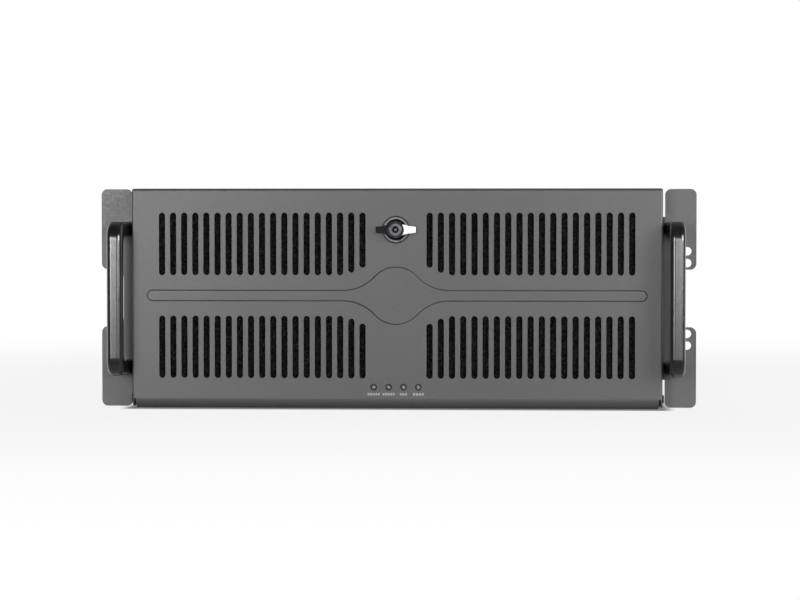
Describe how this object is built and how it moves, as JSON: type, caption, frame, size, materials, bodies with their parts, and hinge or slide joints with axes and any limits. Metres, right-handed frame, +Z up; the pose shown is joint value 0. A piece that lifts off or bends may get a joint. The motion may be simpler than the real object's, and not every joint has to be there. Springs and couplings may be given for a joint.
{
  "type": "rackmount server case",
  "caption": "Black 4U rackmount server case, empty, with a slotted lockable drop-down front door, handles and ears.",
  "frame": {"origin": "middle of the underside of the whole case's box", "axes": "+X to the right seen from the front, +Y to the rear, +Z up"},
  "size_m": [0.4826, 0.5044, 0.1776],
  "materials": {
    "black_powder_coat": "fine textured",
    "black_satin_enamel": "satin",
    "zinc_steel": "galvanised",
    "screw_steel": "plated",
    "chrome_plate": "polished",
    "black_plastic": "matte",
    "clear_plastic": "gloss",
    "circuit_board": "solder mask",
    "brass_parts": "turned",
    "filter_foam": "open cell foam"
  },
  "bodies": {
    "chassis": {"base_tray": "zinc_steel", "bay_cover_lower": "black_plastic", "bay_cover_middle": "black_plastic", "bay_cover_upper": "black_plastic", "board_posts": "screw_steel", "board_standoffs": "brass_parts", "brace_bar": "zinc_steel", "brace_screws": "screw_steel", "cage_screws": "screw_steel", "control_board": "circuit_board", "drive_cage": "zinc_steel", "ear_left": "black_powder_coat", "ear_right": "black_powder_coat", "ear_screws": "screw_steel", "fan_screws": "screw_steel", "floppy_bay_cover": "black_plastic", "floppy_cage": "zinc_steel", "front_fan_frame": "black_plastic", "front_panel": "black_powder_coat", "handle_left": "black_satin_enamel", "handle_right": "black_satin_enamel", "handle_screws": "screw_steel", "hinge_pins": "chrome_plate", "led_board": "circuit_board", "panel_leds": "clear_plastic", "panel_rivets": "screw_steel", "rear_fan_left_frame": "black_plastic", "rear_fan_right_frame": "black_plastic", "rear_panel": "black_powder_coat", "slot_cover_1": "zinc_steel", "slot_cover_2": "zinc_steel", "slot_cover_3": "zinc_steel", "slot_cover_4": "zinc_steel", "slot_cover_5": "zinc_steel", "slot_cover_6": "zinc_steel", "slot_cover_7": "zinc_steel", "slot_cover_screws": "screw_steel", "tact_switches": "black_plastic", "usb_sockets": "screw_steel"},
    "door": {"door_panel": "black_powder_coat", "led_bezels": "black_plastic", "light_pipes": "clear_plastic", "foam_filter_left": "filter_foam", "foam_filter_right": "filter_foam", "filter_frame_left": "zinc_steel", "filter_frame_right": "zinc_steel", "filter_nuts": "screw_steel", "lock_housing": "chrome_plate", "lock_nut": "chrome_plate"},
    "lock": {"lock_knob": "chrome_plate", "lock_cylinder": "chrome_plate", "lock_cam": "screw_steel", "cam_screw": "screw_steel"},
    "power_button": {"power_button": "black_plastic"},
    "reset_button": {"reset_button": "black_plastic"},
    "front_fan": {"front_fan_rotor": "black_plastic"},
    "rear_fan_left": {"rear_fan_left_rotor": "black_plastic"},
    "rear_fan_right": {"rear_fan_right_rotor": "black_plastic"},
    "cover": {"top_cover": "black_powder_coat", "cover_thumbscrews": "screw_steel"}
  },
  "joints": [
    {"name": "door_hinge", "type": "hinge", "parent": "chassis", "child": "door", "pos_m": [0, -0.21925, 0.0083], "axis": [1, 0, 0], "range_deg": [0, 85]},
    {"name": "lock_turn", "type": "hinge", "parent": "door", "child": "lock", "pos_m": [0, -0.22725, 0.1443], "axis": [0, -1, 0], "range_deg": [0, 90]},
    {"name": "power_press", "type": "slide", "parent": "chassis", "child": "power_button", "axis": [0, 1, 0], "range_m": [0, 0.002], "stiffness_N_per_m": 400},
    {"name": "reset_press", "type": "slide", "parent": "chassis", "child": "reset_button", "axis": [0, 1, 0], "range_m": [0, 0.002], "stiffness_N_per_m": 400},
    {"name": "cover_slide", "type": "slide", "parent": "chassis", "child": "cover", "axis": [0, 1, 0], "range_m": [0, 0.46]},
    {"name": "front_fan_spin", "type": "hinge", "parent": "chassis", "child": "front_fan", "pos_m": [-0.137, -0.19025, 0.0888], "axis": [0, 1, 0], "continuous": true},
    {"name": "rear_fan_left_spin", "type": "hinge", "parent": "chassis", "child": "rear_fan_left", "pos_m": [-0.009, 0.22875, 0.106], "axis": [0, 1, 0], "continuous": true},
    {"name": "rear_fan_right_spin", "type": "hinge", "parent": "chassis", "child": "rear_fan_right", "pos_m": [0.073, 0.22875, 0.106], "axis": [0, 1, 0], "continuous": true}
  ]
}
